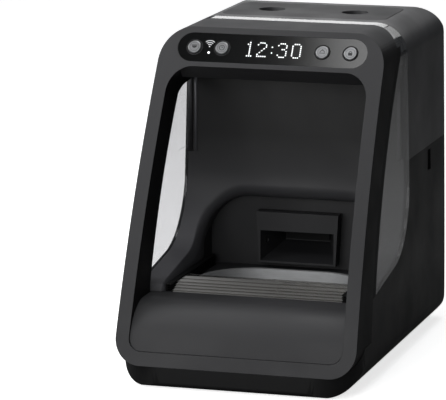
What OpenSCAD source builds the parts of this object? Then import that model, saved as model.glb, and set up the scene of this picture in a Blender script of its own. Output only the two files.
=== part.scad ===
// Hooded pet feeder with a collar-tag reader, a sliding shutter over the bowl and a metered dry-food hopper.
// Millimetres. X runs across, Y from front to back, Z up. The origin is on the floor under the middle.

/* [Housing] */
// Width at the base
body_w = 250; // [225:1:300]
// Depth from the front edge to the back
body_d = 400; // [370:1:480]
// Height above the floor
body_h = 342; // [320:1:400]
// Thickness of the moulded shells
wall = 2.6; // [2:0.1:3.4]
// Height of the rubber feet below the shell
foot_h = 2; // [1:0.5:4]
// How far each side leans in for every millimetre of height
side_draft = 0.0235; // [0:0.001:0.03]
// Height of the seam between the lower and upper shells
seam_z = 201; // [190:1:215]
// Width of the shadow gap at a seam
seam = 0.3; // [0.2:0.05:0.6]

/* [Front frame] */
// Width of the flat ring round the opening
ring_w = 14; // [10:0.5:20]
// Height of the ring's lower edge above the floor
ring_z = 22; // [18:0.5:30]
// How far the leaning face runs back from bottom to top
face_run = 152; // [130:1:165]
// Radius of the face, seen from the side
face_r = 1180; // [900:10:1600]
// Height of the header above the opening, which holds the control panel
header_h = 37; // [34:0.5:48]
// Thickness of the frame's walls
frame_wall = 3.2; // [2.8:0.1:4]
// Depth of the frame at its foot
frame_foot = 62; // [50:1:75]

/* [Control panel] */
// Length of the lens
lens_w = 198; // [190:1:206]
// Height of the lens
lens_h = 32; // [30:0.5:34]
// Thickness of the lens
lens_t = 2; // [1.6:0.1:2.4]
// Distance from the middle to the inner buttons
button_in = 52.5; // [48:0.5:56]
// Distance from the middle to the outer buttons
button_out = 81.5; // [78:0.5:84]
// Radius of a button cap
cap_r = 6.8; // [6:0.1:7.2]
// Travel of a button
press = 1; // [0.6:0.1:1.2]

/* [Bowl bay] */
// Height of the deck that carries the bowl
deck_z = 77; // [72:0.5:82]
// Half the width of the bay
bay_hw = 95; // [90:0.5:100]
// Height of the arch over the bay
bay_top = 160; // [150:1:170]
// Distance from the front to the wall behind the pet's head
head_y = 232; // [225:1:240]
// Distance from the front to the back wall of the bay
bay_back = 252; // [248:1:260]

/* [Bowl] */
// Radius of the bowl's round ends, at the rim
bowl_r = 60; // [55:0.5:62]
// Space between the bowl's rim and the bay's side walls
bowl_side = 7; // [5:0.5:12]
// Depth of the bowl
bowl_deep = 34; // [25:1:40]
// Width of the rim
rim_w = 5; // [4:0.5:7]

/* [Shutter] */
// Number of moving slats
slats = 4; // [4:1:4]
// Front-to-back width of one slat
slat_w = 32; // [30:0.5:34]
// Thickness of a slat at its edges
slat_t = 0.8; // [0.7:0.05:1]
// Crown of each of a slat's two ribs
crown = 0.6; // [0.4:0.05:0.7]
// Height from one slat to the next
slat_step = 1.8; // [1.8:0.05:2.2]
// Offset from one slat to the next as drawn, part way open
slat_lag = 5.6; // [3:0.1:10]
// Travel of the lead slat from open to closed
shutter_run = 115; // [100:1:118]

/* [Dispenser] */
// Inner radius of the rotor housing
drum_r = 41; // [36:0.5:44]
// Half the inner width of the rotor housing
drum_hw = 33; // [28:0.5:36]
// Height of the rotor's axis
drum_z = 165; // [163:0.5:168]
// Distance from the front to the rotor's axis
drum_y = 305; // [302:0.5:312]
// Number of vanes on the rotor
vanes = 6; // [4:1:8]
// Half the width of the chute's mouth
mouth_hw = 39.5; // [34:0.5:42]
// Height of the chute's mouth above the deck
mouth_up = 8; // [7:0.5:10]
// Height of the chute's mouth
mouth_h = 32; // [28:0.5:34]

/* [Lid] */
// Width of the lid
lid_w = 176; // [160:1:180]
// Front-to-back length of the lid
lid_l = 93; // [88:1:96]
// Distance from the front to the lid
lid_y = 250; // [248:0.5:254]
// Radius of the finger recesses
grip_r = 14; // [12:0.5:15]
// Depth of the finger recesses
grip_deep = 12; // [10:0.5:13]

/* [Hidden] */
$fn = 64;

graphite = [0.2, 0.2, 0.21];
charcoal = [0.13, 0.13, 0.14];
shell_grey = [0.1, 0.1, 0.11];
lid_grey = [0.27, 0.27, 0.28];
steel = [0.72, 0.72, 0.74];
smoke = [0.45, 0.45, 0.47, 0.45];
clear = [0.75, 0.77, 0.8, 0.3];
board_green = [0.1, 0.35, 0.2];
rubber_black = [0.08, 0.08, 0.08];
amber = [0.85, 0.6, 0.25];
white = [0.92, 0.92, 0.92];
big = 1000;

// Radii of the housing's edges
edge_base = 30;
edge_top = 33;
edge_toe = 5;
edge_heel = 38;
edge_crown = 45;
corner_back = 22;
screw_y = [92, 208, 306];
plate_w = body_w - 64;
plate_l = body_d - 73;
plate_y = body_d / 2 - 5.5;
plate_corner = 16;
screw_x = body_w / 2 - 40;
foot_at = [[body_w / 2 - 43, 45], [body_w / 2 - 49, body_d - 70]];
inlet_z = 47;
corner_front = 50;
ring_corner = 27;
// Steps in the arc of a corner
arc_n = 16;
open_corner = 13;

function unit(v) = v / norm(v);
// Length from a corner to where its arc begins, and the arc's centre
function arc_run(p, a, b, r) = r / tan(acos(unit(a - p) * unit(b - p)) / 2);
function arc_mid(p, a, b, r) = let (u = unit(a - p), v = unit(b - p)) p + unit(u + v) * r / sin(acos(u * v) / 2);
// Centre of the circle of radius r through p and q that bulges to their left
function circle_mid(p, q, r) = let (d = q - p) (p + q) / 2 + sqrt(r * r - d * d / 4) * [d[1], -d[0]] / norm(d);

// Half the width of the housing at a height
function half_w(z) = body_w / 2 - side_draft * (z - foot_h);

// The face's arc and the arc behind the frame, as [y, z] centres
face_mid = circle_mid([0, ring_z], [face_run, body_h], face_r);
rear_r = 580;
rear_mid = circle_mid([frame_foot, ring_z], [face_run + frame_foot, body_h], rear_r);
function face_y(z) = face_mid[0] - sqrt(face_r * face_r - pow(z - face_mid[1], 2));
function rear_y(z) = rear_mid[0] - sqrt(rear_r * rear_r - pow(z - rear_mid[1], 2));

// The opening in the frame
open_zb = ring_z + 13.5;
open_zt = body_h - header_h;
ceiling_fall = 0.45;

// The seat-shaped curve of the interior, which is also the lower edge of the side windows
seat_r = 75;
seat_mid = [head_y - seat_r, 177];
seat_pitch = 9;
seat_low = seat_mid + seat_r * [sin(seat_pitch), -cos(seat_pitch)];
function seat_z(y) = seat_low[1] - (seat_low[0] - y) * tan(seat_pitch);

// The control panel's plane
panel_z = open_zt + header_h / 2 - 0.5;
panel_y = face_y(panel_z);
panel_tilt = asin((panel_z - face_mid[1]) / face_r);
lens_back = -0.2 - lens_t;
ledge_back = -frame_wall - 0.15;
keypad_t = 1.5;
board_z = -10;
board_t = 1.6;
button_x = [-button_out, -button_in, button_in, button_out];

// The shutter
sill_y = 82;
slat_z = deck_z + 2;
slat_hw = bay_hw - 6.5;
tongue_hw = bay_hw - 2.2;
rail_in = bay_hw - 5.8;
rail_out = bay_hw - 0.2;
rail_end = head_y + 5;
groove_gap = 0.22;
lead_z = slat_z + slats * slat_step;
lead_y = sill_y + slats * slat_lag;
tooth_m = 1;
pinion_n = 14;
pinion_r = pinion_n * tooth_m / 2;
pinion_y = 168;
pinion_z = deck_z - 11;
rack_x = bay_hw + 6;
rack_w = 4;
pinion_shaft_r = 1.5;

// The bowl
bowl_y = sill_y + slat_w - 2 + bowl_r;
// Distance between the centres of the bowl's round ends
bowl_run = 2 * (bay_hw - bowl_side - bowl_r);
rim_t = 1.2;
rim_z = deck_z + rim_t;
bowl_in = bowl_r - rim_w;

// The dispenser
drum_wall = 2.4;
throat_hw = 29;
throat_l = 50;
hood_y = head_y + 4;
mouth_z = deck_z + mouth_up;
hood_top = deck_z + 60;
inner_hw = 24.5;
inner_y = drum_y - 30;
inner_z = drum_z - drum_r - 24;
inner_h = 22;
pin_y = inner_y + 4;
pin_z = inner_z + inner_h - 3.4;
pin_r = 1.5;
shaft_r = 4;
run_gap = 0.05;

// The battery bay
cell_r = 13;
cell_l = 50;
cell_bay = [2 * cell_l + 2, 4 * cell_r + 1.2, 2 * cell_r + 1];
cell_y = 270;

// The lid
lid_t = 3.2;
lid_gap = 0.6;
lid_ledge = 5;
lid_corner = 14;
lid_mid = lid_y + lid_l / 2;
ledge_z = body_h - lid_t - 2.4;

// Moves a shape from front-based to centred coordinates
module place() {
    translate([0, -body_d / 2, 0]) children();
}

// The points of one corner: p itself, or an arc of radius r between the sides towards a and b
function corner_pts(p, a, b, r) = r <= 0 ? [p] : let (c = arc_mid(p, a, b, r), t = arc_run(p, a, b, r),
    u = p + t * unit(a - p) - c, v = p + t * unit(b - p) - c, a0 = atan2(u[1], u[0]), d = atan2(v[1], v[0]) - a0,
    turn = d > 180 ? d - 360 : d < -180 ? d + 360 : d)
    [for (k = [0 : arc_n]) c + r * [cos(a0 + turn * k / arc_n), sin(a0 + turn * k / arc_n)]];

// A flat outline with a radius at each corner
module round_outline(pts, rads) {
    n = len(pts);
    polygon([for (k = [0 : n - 1], q = corner_pts(pts[k], pts[(k + n - 1) % n], pts[(k + 1) % n], rads[k])) q]);
}

// A rectangle with round corners
module round_box(w, l, r) {
    round_outline([[-w / 2, -l / 2], [w / 2, -l / 2], [w / 2, l / 2], [-w / 2, l / 2]], [r, r, r, r]);
}

// A stadium outline along X
module stadium(run, r) {
    translate([-run / 2, 0]) circle(r = r);
    translate([run / 2, 0]) circle(r = r);
    square([run, 2 * r], center = true);
}

// Extrudes a [y, z] outline across the housing, and an [x, z] outline along its depth
module across(w, x = 0) {
    translate([x, 0, 0]) rotate([90, 0, 90]) linear_extrude(w, center = true) children();
}
module along(a, b) {
    translate([0, b, 0]) rotate([90, 0, 0]) linear_extrude(b - a) children();
}

// The housing's three outlines, each drawn in by i
module front_outline(i, zb, rb) {
    zt = body_h - i;
    round_outline([[i - half_w(zb), zb], [half_w(zb) - i, zb], [half_w(zt) - i, zt], [i - half_w(zt), zt]],
        [rb, rb, edge_top - i, edge_top - i]);
}
module side_outline(i) {
    zb = foot_h + i;
    zt = body_h - i;
    intersection() {
        round_outline([[i, zb], [body_d - i, zb], [body_d - i, zt], [i, zt]],
            [edge_toe - i, edge_heel - i, edge_crown - i, 0]);
        translate(face_mid) circle(r = face_r - i, $fn = 360);
    }
}
module plan_outline(i, rf) {
    w = body_w / 2 - i + 0.01;
    y0 = rf > 0 ? i - 0.01 : -60;
    round_outline([[-w, y0], [w, y0], [w, body_d - i], [-w, body_d - i]], [rf, rf, corner_back - i, corner_back - i]);
}

// The housing's outer form drawn in by i, with sharp or round front corners
module envelope(i, rf = 0) {
    intersection() {
        across(2 * body_w) side_outline(i);
        along(-10, body_d + 10) front_outline(i, foot_h + i, edge_base - i);
        linear_extrude(2 * body_h) plan_outline(i, rf);
    }
}

// Everything behind the frame's rear arc, moved back by i
module behind_frame(i) {
    across(2 * body_w) translate(rear_mid) circle(r = rear_r - i, $fn = 360);
}

// The opening of the frame, grown by o
module open_outline(o) {
    zb = open_zb - o;
    zt = open_zt + o;
    w0 = half_w(zb) - ring_w + o;
    w1 = half_w(zt) - ring_w + o;
    round_outline([[-w0, zb], [w0, zb], [w1, zt], [-w1, zt]],
        [open_corner + o, open_corner + o, edge_top - 8 + o, edge_top - 8 + o]);
}

// The hole through the frame, whose ceiling falls towards the back, grown by o
module frame_hole(o) {
    y0 = face_y(open_zt);
    z0 = open_zt + o * norm([1, ceiling_fall]);
    intersection() {
        along(-20, body_d + 20) open_outline(o);
        across(2 * body_w) polygon([[-30, 0], [body_d, 0], [body_d, z0 - (body_d - y0) * ceiling_fall],
            [-30, z0 + (y0 + 30) * ceiling_fall]]);
    }
}

// Side view of the room behind the opening, from the seat curve up to a height, grown by d
module room_side(top, d = 0) {
    polygon([[40, top + d], [40, seat_z(40) - d / cos(seat_pitch)],
        for (k = [0 : 2 * arc_n]) let (a = (90 - seat_pitch) * (k / 2 / arc_n - 1))
            seat_mid + (seat_r + d) * [cos(a), sin(a)],
        [head_y + d, top + d]]);
}

// Front view of the bay's arch
module arch_outline(hw, top, r) {
    round_outline([[-hw, deck_z - 40], [hw, deck_z - 40], [hw, top], [-hw, top]], [0, 0, r, r]);
}

// The bay's opening, whose crown drops towards the back, grown by o
module bay_funnel(o) {
    hull() {
        along(40, 41) arch_outline(bay_hw + o, bay_top + 22 + o, 60);
        along(bay_back + 8, bay_back + 9) arch_outline(bay_hw + o, bay_top - 11 + o, 40);
    }
}

// Everything ahead of the frame's rear arc and above its lower edge, grown by o
module frame_room(o) {
    difference() {
        along(-20, 250) front_outline(-o, ring_z - o, ring_corner);
        behind_frame(o);
    }
}

// Puts a shape on the control panel: X across, Y up the face and Z out of it
module on_panel() {
    translate([0, panel_y, panel_z]) rotate([90 - panel_tilt, 0, 0]) children();
}

module front_frame() {
    color(graphite) place() difference() {
        intersection() {
            across(2 * body_w) side_outline(0);
            frame_room(0);
        }
        frame_hole(0);
        difference() {
            intersection() {
                across(2 * body_w) translate(face_mid) circle(r = face_r - frame_wall, $fn = 360);
                along(-10, body_d) front_outline(frame_wall, ring_z + frame_wall, ring_corner - frame_wall);
            }
            frame_hole(frame_wall);
            on_panel() for (x = [-95.6, 95.6], y = [-8, 12])
                translate([x, y, board_z]) cylinder(r = 1.8, h = -board_z - 1, $fn = 24);
        }
        on_panel() translate([0, 0, -lens_t - 0.2]) linear_extrude(big) round_box(lens_w + 0.3, lens_h + 0.3, lens_h / 2);
        on_panel() translate([0, 0, -frame_wall - 1]) linear_extrude(big)
            round_box(lens_w - 8, lens_h - 7, lens_h / 2 - 4);
    }
}

module frame_back() {
    color(charcoal) place() difference() {
        intersection() {
            across(2 * body_w) difference() {
                translate(rear_mid) circle(r = rear_r + 2.4, $fn = 360);
                translate(rear_mid) circle(r = rear_r, $fn = 360);
            }
            along(-10, body_d) front_outline(frame_wall + 0.15, ring_z + frame_wall + 0.15, ring_corner - frame_wall);
        }
        frame_hole(frame_wall + 0.15);
    }
}

// Reader coil that lies against the frame's back plate, round the opening
module antenna_coil() {
    color(amber) place() difference() {
        intersection() {
            across(2 * body_w) difference() {
                translate(rear_mid) circle(r = rear_r + 4.7, $fn = 360);
                translate(rear_mid) circle(r = rear_r + 2.5, $fn = 360);
            }
            along(-10, body_d) open_outline(ring_w - frame_wall - 1.6);
        }
        along(-20, body_d + 20) open_outline(frame_wall + 1);
    }
}

module panel_lens() {
    color([0.03, 0.03, 0.03]) place() on_panel() translate([0, 0, lens_back]) difference() {
        linear_extrude(lens_t) round_box(lens_w, lens_h, lens_h / 2 - 0.1);
        for (x = button_x) translate([x, 0, -1]) cylinder(r = cap_r + 1.5, h = lens_t + 2);
    }
}

// Silicone sheet behind the lens, with a collar round each button
module keypad() {
    color([0.05, 0.05, 0.05]) place() on_panel() difference() {
        union() {
            translate([0, 0, ledge_back - keypad_t]) linear_extrude(keypad_t) round_box(lens_w - 12, lens_h - 3, 10);
            for (x = button_x) translate([x, 0, ledge_back - keypad_t]) cylinder(r = cap_r + 1.2, h = keypad_t + 2.6);
        }
        for (x = button_x) translate([x, 0, -20]) cylinder(r = cap_r + 0.3, h = 30);
        translate([0, 0, -20]) linear_extrude(30) square([66, 20], center = true);
        translate([-67, -4.5, -20]) cylinder(r = 2.2, h = 30);
    }
}

module button_cap(x) {
    color(steel) place() on_panel() translate([x, 0, 0]) {
        flange_z = ledge_back - keypad_t - 0.15;
        translate([0, 0, flange_z - 1.2]) cylinder(r = cap_r + 0.9, h = 1.2);
        translate([0, 0, flange_z - 0.2]) cylinder(r = cap_r, h = 0.5 - flange_z);
        translate([0, 0, 0.3]) cylinder(r1 = cap_r, r2 = cap_r - 0.7, h = 0.6);
    }
}
module button_1() { button_cap(button_x[0]); }
module button_2() { button_cap(button_x[1]); }
module button_3() { button_cap(button_x[2]); }
module button_4() { button_cap(button_x[3]); }

module panel_board() {
    switch_top = ledge_back - keypad_t - 1.35 - press - 0.2;
    color(board_green) place() on_panel() {
        translate([-100, -10, board_z - board_t]) cube([200, 25.5, board_t]);
        for (x = button_x) {
            translate([x - 3, -3, board_z]) cube([6, 6, 1.4]);
            translate([x, 0, board_z]) cylinder(r = 1.7, h = switch_top - board_z, $fn = 24);
        }
    }
}

module display_module() {
    color([0.06, 0.06, 0.06]) place() on_panel()
        translate([-32, -9, board_z]) cube([64, 18, lens_back - board_z]);
}

module status_led() {
    color(white) place() on_panel()
        translate([-67, -4.5, board_z]) cylinder(r = 1.3, h = lens_back - board_z, $fn = 24);
}

// Convex front below the bay, which turns from the ring's plane to the deck
module front_apron() {
    top = slat_z + slat_t + crown + 0.6;
    foot = [face_y(open_zb) + 1.5, open_zb + 0.3];
    module profile(i) {
        lean = (face_y(top) - face_y(open_zb)) / (top - open_zb);
        round_outline([foot + [i, -2 * i], [foot[0] + i + lean * (top - foot[1]), top - i],
            [sill_y + i, top - i], [sill_y + i, foot[1] - 2 * i]], [0, 44 - i, 0, 0]);
    }
    color(graphite) place() {
        intersection() {
            across(2 * body_w) difference() {
                profile(0);
                profile(2.6);
            }
            along(-10, body_d) open_outline(-seam);
        }
        for (x = [-60, 0, 60])
            translate([x, 0, 0]) across(2.4) intersection() {
                profile(2.2);
                polygon([[foot[0], open_zb + 0.3], [foot[0] + 26, open_zb + 0.3], [sill_y - 24, top], [foot[0], top]]);
            }
    }
}

// Transparent hoop: a strip over the top that widens into the two side windows
module canopy() {
    color(clear) place() {
        intersection() {
            difference() {
                envelope(0);
                envelope(3);
            }
            behind_frame(seam);
            across(2 * body_w) room_side(body_h + 20);
        }
        intersection() {
            difference() {
                envelope(2.9);
                envelope(4.2);
            }
            translate([-big / 2, head_y - 36, seam_z + 4]) cube([big, 35.6, 85]);
        }
    }
}

module lower_shell() {
    color(shell_grey) place() {
        difference() {
            envelope(0, corner_front);
            envelope(wall, corner_front - wall);
            frame_room(seam);
            translate([-big / 2, head_y, seam_z]) cube(big);
            across(2 * body_w) room_side(body_h + 20, seam);
            translate([0, plate_y, -1]) linear_extrude(wall + 4) round_box(plate_w, plate_l, plate_corner);
            translate([60, body_d + 1, inlet_z]) rotate([90, 0, 0]) cylinder(r = 5.2, h = wall + 2);
            for (s = [-1, 1]) translate([s * half_w(seam_z) - 2, 313, seam_z - 26]) cube([4, 14, 22]);
        }
        for (s = [-1, 1], y = screw_y) {
            translate([s * screw_x, y, foot_h + wall + 0.2]) difference() {
                cylinder(r = 4.6, h = 24);
                translate([0, 0, -1]) cylinder(r = 1.55, h = 16, $fn = 24);
            }
            translate([s * (body_w / 2 - 20.4) - 16.4, y - 1.5, foot_h + 19]) cube([32.8, 3, 8]);
        }
    }
}

module base_plate() {
    color(charcoal) place() difference() {
        translate([0, plate_y, foot_h]) linear_extrude(wall) round_box(plate_w - 1, plate_l - 1, plate_corner - 0.5);
        for (s = [-1, 1], y = screw_y) translate([s * screw_x, y, 0]) {
            cylinder(r = 1.8, h = 10, $fn = 24);
            cylinder(r = 3.3, h = foot_h + 1.4, $fn = 32);
        }
        translate([-cell_bay[0] / 2, cell_y, 0]) cube([cell_bay[0], cell_bay[1], 20]);
    }
}

module rubber_feet() {
    color(rubber_black) place() for (s = [-1, 1], f = foot_at)
        translate([s * f[0], f[1], 0]) cylinder(r1 = 9.6, r2 = 10.6, h = foot_h);
}

module base_screws() {
    color(steel) place() for (s = [-1, 1], y = screw_y) translate([s * screw_x, y, foot_h + 0.1]) {
        cylinder(r = 3, h = 1.3, $fn = 32);
        translate([0, 0, 1.2]) cylinder(r = 1.45, h = 11, $fn = 24);
    }
}

// Moulded inner wall: a seat-shaped sheet with a flanged arch in it
module inner_liner() {
    color(charcoal) place() difference() {
        union() {
            intersection() {
                across(2 * body_w) difference() {
                    room_side(open_zt + frame_wall, 2.4);
                    room_side(open_zt + frame_wall);
                }
                behind_frame(seam);
                envelope(3.3);
            }
            intersection() {
                difference() {
                    bay_funnel(2.4);
                    translate([0, 0, -0.01]) bay_funnel(0);
                }
                across(2 * body_w) difference() {
                    room_side(open_zt, 33);
                    room_side(open_zt, 0.5);
                }
                translate([-big / 2, sill_y + seam, deck_z - 10]) cube([big, bay_back - sill_y - 3, big]);
            }
            for (s = [-1, 1]) translate([s * (bay_hw + 12.4) - 12, sill_y - 3, deck_z + 4.3]) cube([24, 2.4, 11.7]);
        }
        bay_funnel(0);
        translate([-big / 2, sill_y - 10, seat_z(sill_y) + 0.1]) cube([big, 9, 60]);
        translate([bay_hw - 1, sill_y + 2.4, lead_z - 0.5]) cube([6, big, 1.8]);
        translate([bay_hw - 1, pinion_y, pinion_z]) rotate([0, 90, 0]) cylinder(r = 3, h = 6);
        for (s = [-1, 1]) translate([s * 108 - 1, head_y - 1, seam_z + 6]) cube([2, 2.2, 74]);
        for (s = [-1, 1]) translate([s * 113 - 2.5, head_y - 1, seam_z + 6]) cube([5, 1.8, 74]);
    }
}

// Box behind the arch that carries the deck, the rails and the chute
module bay_housing() {
    color(charcoal) place() difference() {
        intersection() {
            difference() {
                bay_funnel(5);
                bay_funnel(2.6);
            }
            across(2 * body_w) difference() {
                translate([sill_y, 0]) square([bay_back - sill_y, big]);
                room_side(body_h, 6);
            }
            translate([-big / 2, 0, deck_z - 12]) cube(big);
        }
        translate([bay_hw - 1, sill_y, lead_z - 0.5]) cube([8, big, 1.8]);
    }
    color(charcoal) place() difference() {
        along(bay_back, bay_back + 2.4) arch_outline(bay_hw + 5, bay_top - 5, 44);
        translate([-big / 2, 0, -big + deck_z - 12]) cube(big);
        translate([-mouth_hw - 0.5, 0, mouth_z - 3.4]) cube([2 * mouth_hw + 1, big, hood_top - mouth_z]);
    }
}

module upper_shell() {
    color([0.17, 0.17, 0.18]) place() {
        difference() {
            envelope(0);
            envelope(wall);
            translate([-big / 2, head_y + seam - big, -1]) cube(big);
            translate([-big / 2, 0, seam_z + seam - big]) cube(big);
            translate([0, lid_mid, body_h - 20]) linear_extrude(40) round_box(lid_w + 2 * lid_gap, lid_l + 2 * lid_gap, lid_corner);
        }
        difference() {
            union() {
                translate([0, lid_mid, ledge_z]) linear_extrude(2.2) round_box(lid_w + 6, lid_l + 6, lid_corner + 2);
                translate([0, lid_mid, ledge_z + 2]) linear_extrude(lid_t - 1.6) difference() {
                    round_box(lid_w + 6, lid_l + 6, lid_corner + 2);
                    round_box(lid_w + 2 * lid_gap, lid_l + 2 * lid_gap, lid_corner);
                }
            }
            translate([0, lid_mid, 0]) linear_extrude(big) round_box(lid_w - 2 * lid_ledge, lid_l - 2 * lid_ledge, lid_corner - 4);
        }
        intersection() {
            difference() {
                union() {
                    envelope(wall + 0.2);
                    intersection() {
                        envelope(wall - 0.6);
                        translate([-big / 2, head_y, seam_z + 2]) cube(big);
                    }
                }
                envelope(wall + 2.2);
            }
            translate([-big / 2, head_y + 4, seam_z - 5]) cube([big, big, 11]);
        }
    }
}

// Food tank with a funnel floor
module hopper() {
    top_z = ledge_z - 0.3;
    tank_w = lid_w + 8;
    waist_z = seam_z + 84;
    neck_z = drum_z + drum_r + 3;
    y0 = head_y + 7;
    y1 = body_d - 34;
    mid = (y0 + y1) / 2;
    module tank(i, low) {
        translate([0, mid, waist_z]) linear_extrude(top_z - waist_z + low) round_box(tank_w - 2 * i, y1 - y0 - 2 * i, 12 - i);
    }
    module funnel(i, low) {
        hull() {
            translate([0, mid, waist_z]) linear_extrude(0.2) round_box(tank_w - 2 * i, y1 - y0 - 2 * i, 12 - i);
            translate([0, drum_y, neck_z - low]) linear_extrude(0.2) square([2 * throat_hw - 2 * i, throat_l - 2 * i], center = true);
        }
    }
    color(smoke) place() difference() {
        union() {
            tank(0, 0);
            funnel(0, 0);
        }
        tank(2.2, 1);
        funnel(2.2, 0.5);
        translate([0, 0, 0.1]) tank(2.2, 1);
    }
}

module rotor_housing() {
    color(charcoal) place() difference() {
        union() {
            translate([-drum_hw - drum_wall, drum_y, drum_z]) rotate([0, 90, 0])
                cylinder(r = drum_r + drum_wall, h = 2 * (drum_hw + drum_wall), $fn = 96);
            translate([-throat_hw, drum_y - throat_l / 2, drum_z]) cube([2 * throat_hw, throat_l, drum_r + 2.7]);
        }
        translate([-drum_hw, drum_y, drum_z]) rotate([0, 90, 0]) cylinder(r = drum_r, h = 2 * drum_hw, $fn = 96);
        translate([2.2 - throat_hw, drum_y - throat_l / 2 + 2.2, drum_z]) cube([2 * throat_hw - 4.4, throat_l - 4.4, 100]);
        translate([-inner_hw, inner_y + 6, drum_z - 60]) cube([2 * inner_hw, 30, 50]);
        translate([-100, drum_y, drum_z]) rotate([0, 90, 0]) cylinder(r = shaft_r + run_gap, h = 200);
    }
}

module feed_rotor() {
    color([0.85, 0.35, 0.1]) place() translate([0.3 - drum_hw, drum_y, drum_z]) rotate([0, 90, 0]) difference() {
        union() {
            cylinder(r = 11, h = 2 * drum_hw - 0.6);
            for (k = [0 : vanes - 1]) rotate(k * 360 / vanes + 15)
                translate([9, -1.1, 0]) cube([drum_r - 9.5, 2.2, 2 * drum_hw - 0.6]);
        }
        translate([0, 0, -1]) cylinder(r = shaft_r, h = 2 * drum_hw + 2);
    }
}

module rotor_shaft() {
    color(steel) place() translate([-drum_hw - drum_wall, drum_y, drum_z]) rotate([0, 90, 0])
        cylinder(r = shaft_r, h = 2 * drum_hw + 2 * drum_wall + 14);
}

module feed_motor() {
    x0 = drum_hw + drum_wall;
    color([0.25, 0.25, 0.27]) place() difference() {
        union() {
            translate([x0, drum_y - 21, drum_z - 21]) cube([24, 42, 42]);
            translate([x0 + 23, drum_y - 8, drum_z - 6]) rotate([0, 90, 0]) cylinder(r = 13, h = 32);
        }
        translate([x0 - 1, drum_y, drum_z]) rotate([0, 90, 0]) cylinder(r = shaft_r + run_gap, h = 15.5);
    }
}

// Hooded mouth and the channel that leads to it from the rotor
module chute() {
    module mouth_cut(i, y, h0) {
        translate([0, y, 0]) along(0, 0.2) translate([0, mouth_z - i + h0 / 2 + i])
            square([2 * mouth_hw + 2 * i, h0 + 2 * i], center = true);
    }
    module channel(i) {
        hull() {
            along(hood_y - (i > 0 ? 0 : 2), hood_y + 1) translate([-mouth_hw - i, mouth_z - i])
                square([2 * mouth_hw + 2 * i, mouth_h + 2 * i]);
            along(inner_y + 3, inner_y + 5) translate([-inner_hw - i, inner_z - i])
                square([2 * inner_hw + 2 * i, inner_h + 2 * i]);
        }
    }
    module well(i) {
        hull() {
            translate([-inner_hw - i, inner_y + 4 + (i > 0 ? 0 : -2), inner_z - i]) cube([2 * inner_hw + 2 * i, 1, inner_h + 2 * i]);
            translate([-inner_hw - i, inner_y + 33 + i, drum_z - drum_r + 4.5]) cube([2 * inner_hw + 2 * i, 3, 1]);
            translate([-inner_hw - i, inner_y + 6 - i, drum_z - drum_r + 4.5]) cube([2 * inner_hw + 2 * i, 3, 1]);
        }
    }
    color(charcoal) place() {
        difference() {
            union() {
                channel(2.2);
                well(2.2);
                along(hood_y, bay_back) polygon([[-mouth_hw - 2.2, mouth_z - 2.2], [mouth_hw + 2.2, mouth_z - 2.2],
                    [mouth_hw + 5, hood_top], [-mouth_hw - 5, hood_top]]);
            }
            channel(0);
            well(0);
            translate([0, drum_y, drum_z]) rotate([0, 90, 0])
                cylinder(r = drum_r + drum_wall + 0.1, h = 200, center = true, $fn = 96);
            translate([-100, pin_y, pin_z]) rotate([0, 90, 0]) cylinder(r = pin_r, h = 200, $fn = 24);
            for (s = [-1, 1]) translate([s * (mouth_hw + 0.2), hood_y + 12, mouth_z + mouth_h / 2 + 4])
                rotate([0, 90, 0]) cylinder(r = 2.6, h = 14, center = true, $fn = 32);
            translate([3 - mouth_hw, hood_y + 3, mouth_z + mouth_h + 4]) cube([2 * mouth_hw - 6, 40, 14]);
        }
    }
}

module food_sensor() {
    color([0.3, 0.05, 0.08]) place() for (s = [-1, 1])
        translate([s * (mouth_hw - 0.6), hood_y + 12, mouth_z + mouth_h / 2 + 4])
            rotate([0, 90, 0]) cylinder(r = 2.5, h = 5, center = true, $fn = 32);
}

module flap_pin() {
    color(steel) place() translate([-inner_hw - 2.2, pin_y, pin_z]) rotate([0, 90, 0])
        cylinder(r = pin_r, h = 2 * inner_hw + 4.4, $fn = 24);
}

module chute_flap() {
    hw = inner_hw - 0.6;
    color(charcoal) place() difference() {
        union() {
            translate([-hw, pin_y, pin_z]) rotate([0, 90, 0]) cylinder(r = 2.8, h = 2 * hw, $fn = 32);
            translate([-hw, pin_y - 0.8, inner_z + 1.2]) cube([2 * hw, 1.6, pin_z - inner_z - 2]);
        }
        translate([-100, pin_y, pin_z]) rotate([0, 90, 0]) cylinder(r = pin_r + run_gap, h = 200, $fn = 24);
    }
}

module bowl_deck() {
    color(charcoal) place() difference() {
        union() {
            translate([0.3 - bay_hw, sill_y + 0.3, deck_z - 2.4])
                cube([2 * bay_hw - 0.6, bay_back - sill_y - 0.4, 2.4]);
            translate([0.3 - bay_hw, sill_y + 0.3, deck_z - 12]) cube([2 * bay_hw - 0.6, 2.4, 10]);
        }
        translate([0, bowl_y, 0]) linear_extrude(big) stadium(bowl_run, bowl_in + 1.4);
    }
}

// Pressed steel bowl: a stadium with drafted walls and a flat rim
module food_bowl() {
    t = 1;
    module section() {
        polygon([[bowl_in, rim_z], [bowl_r, rim_z], [bowl_r, rim_z - rim_t], [bowl_in - 0.2, rim_z - rim_t],
            [bowl_in - 6, rim_z - bowl_deep], [0, rim_z - bowl_deep - t], [0, rim_z - bowl_deep],
            [bowl_in - 10, rim_z - bowl_deep + t], [bowl_in - 7, rim_z - bowl_deep + 5]]);
    }
    color(steel) place() translate([0, bowl_y, 0]) {
        for (s = [0, 1]) rotate(s * 180) translate([bowl_run / 2, 0, 0]) rotate(-90)
            rotate_extrude(angle = 180, $fn = 96) section();
        for (s = [0, 1]) rotate(s * 180) rotate([90, 0, 90]) linear_extrude(bowl_run, center = true) section();
    }
}

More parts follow.
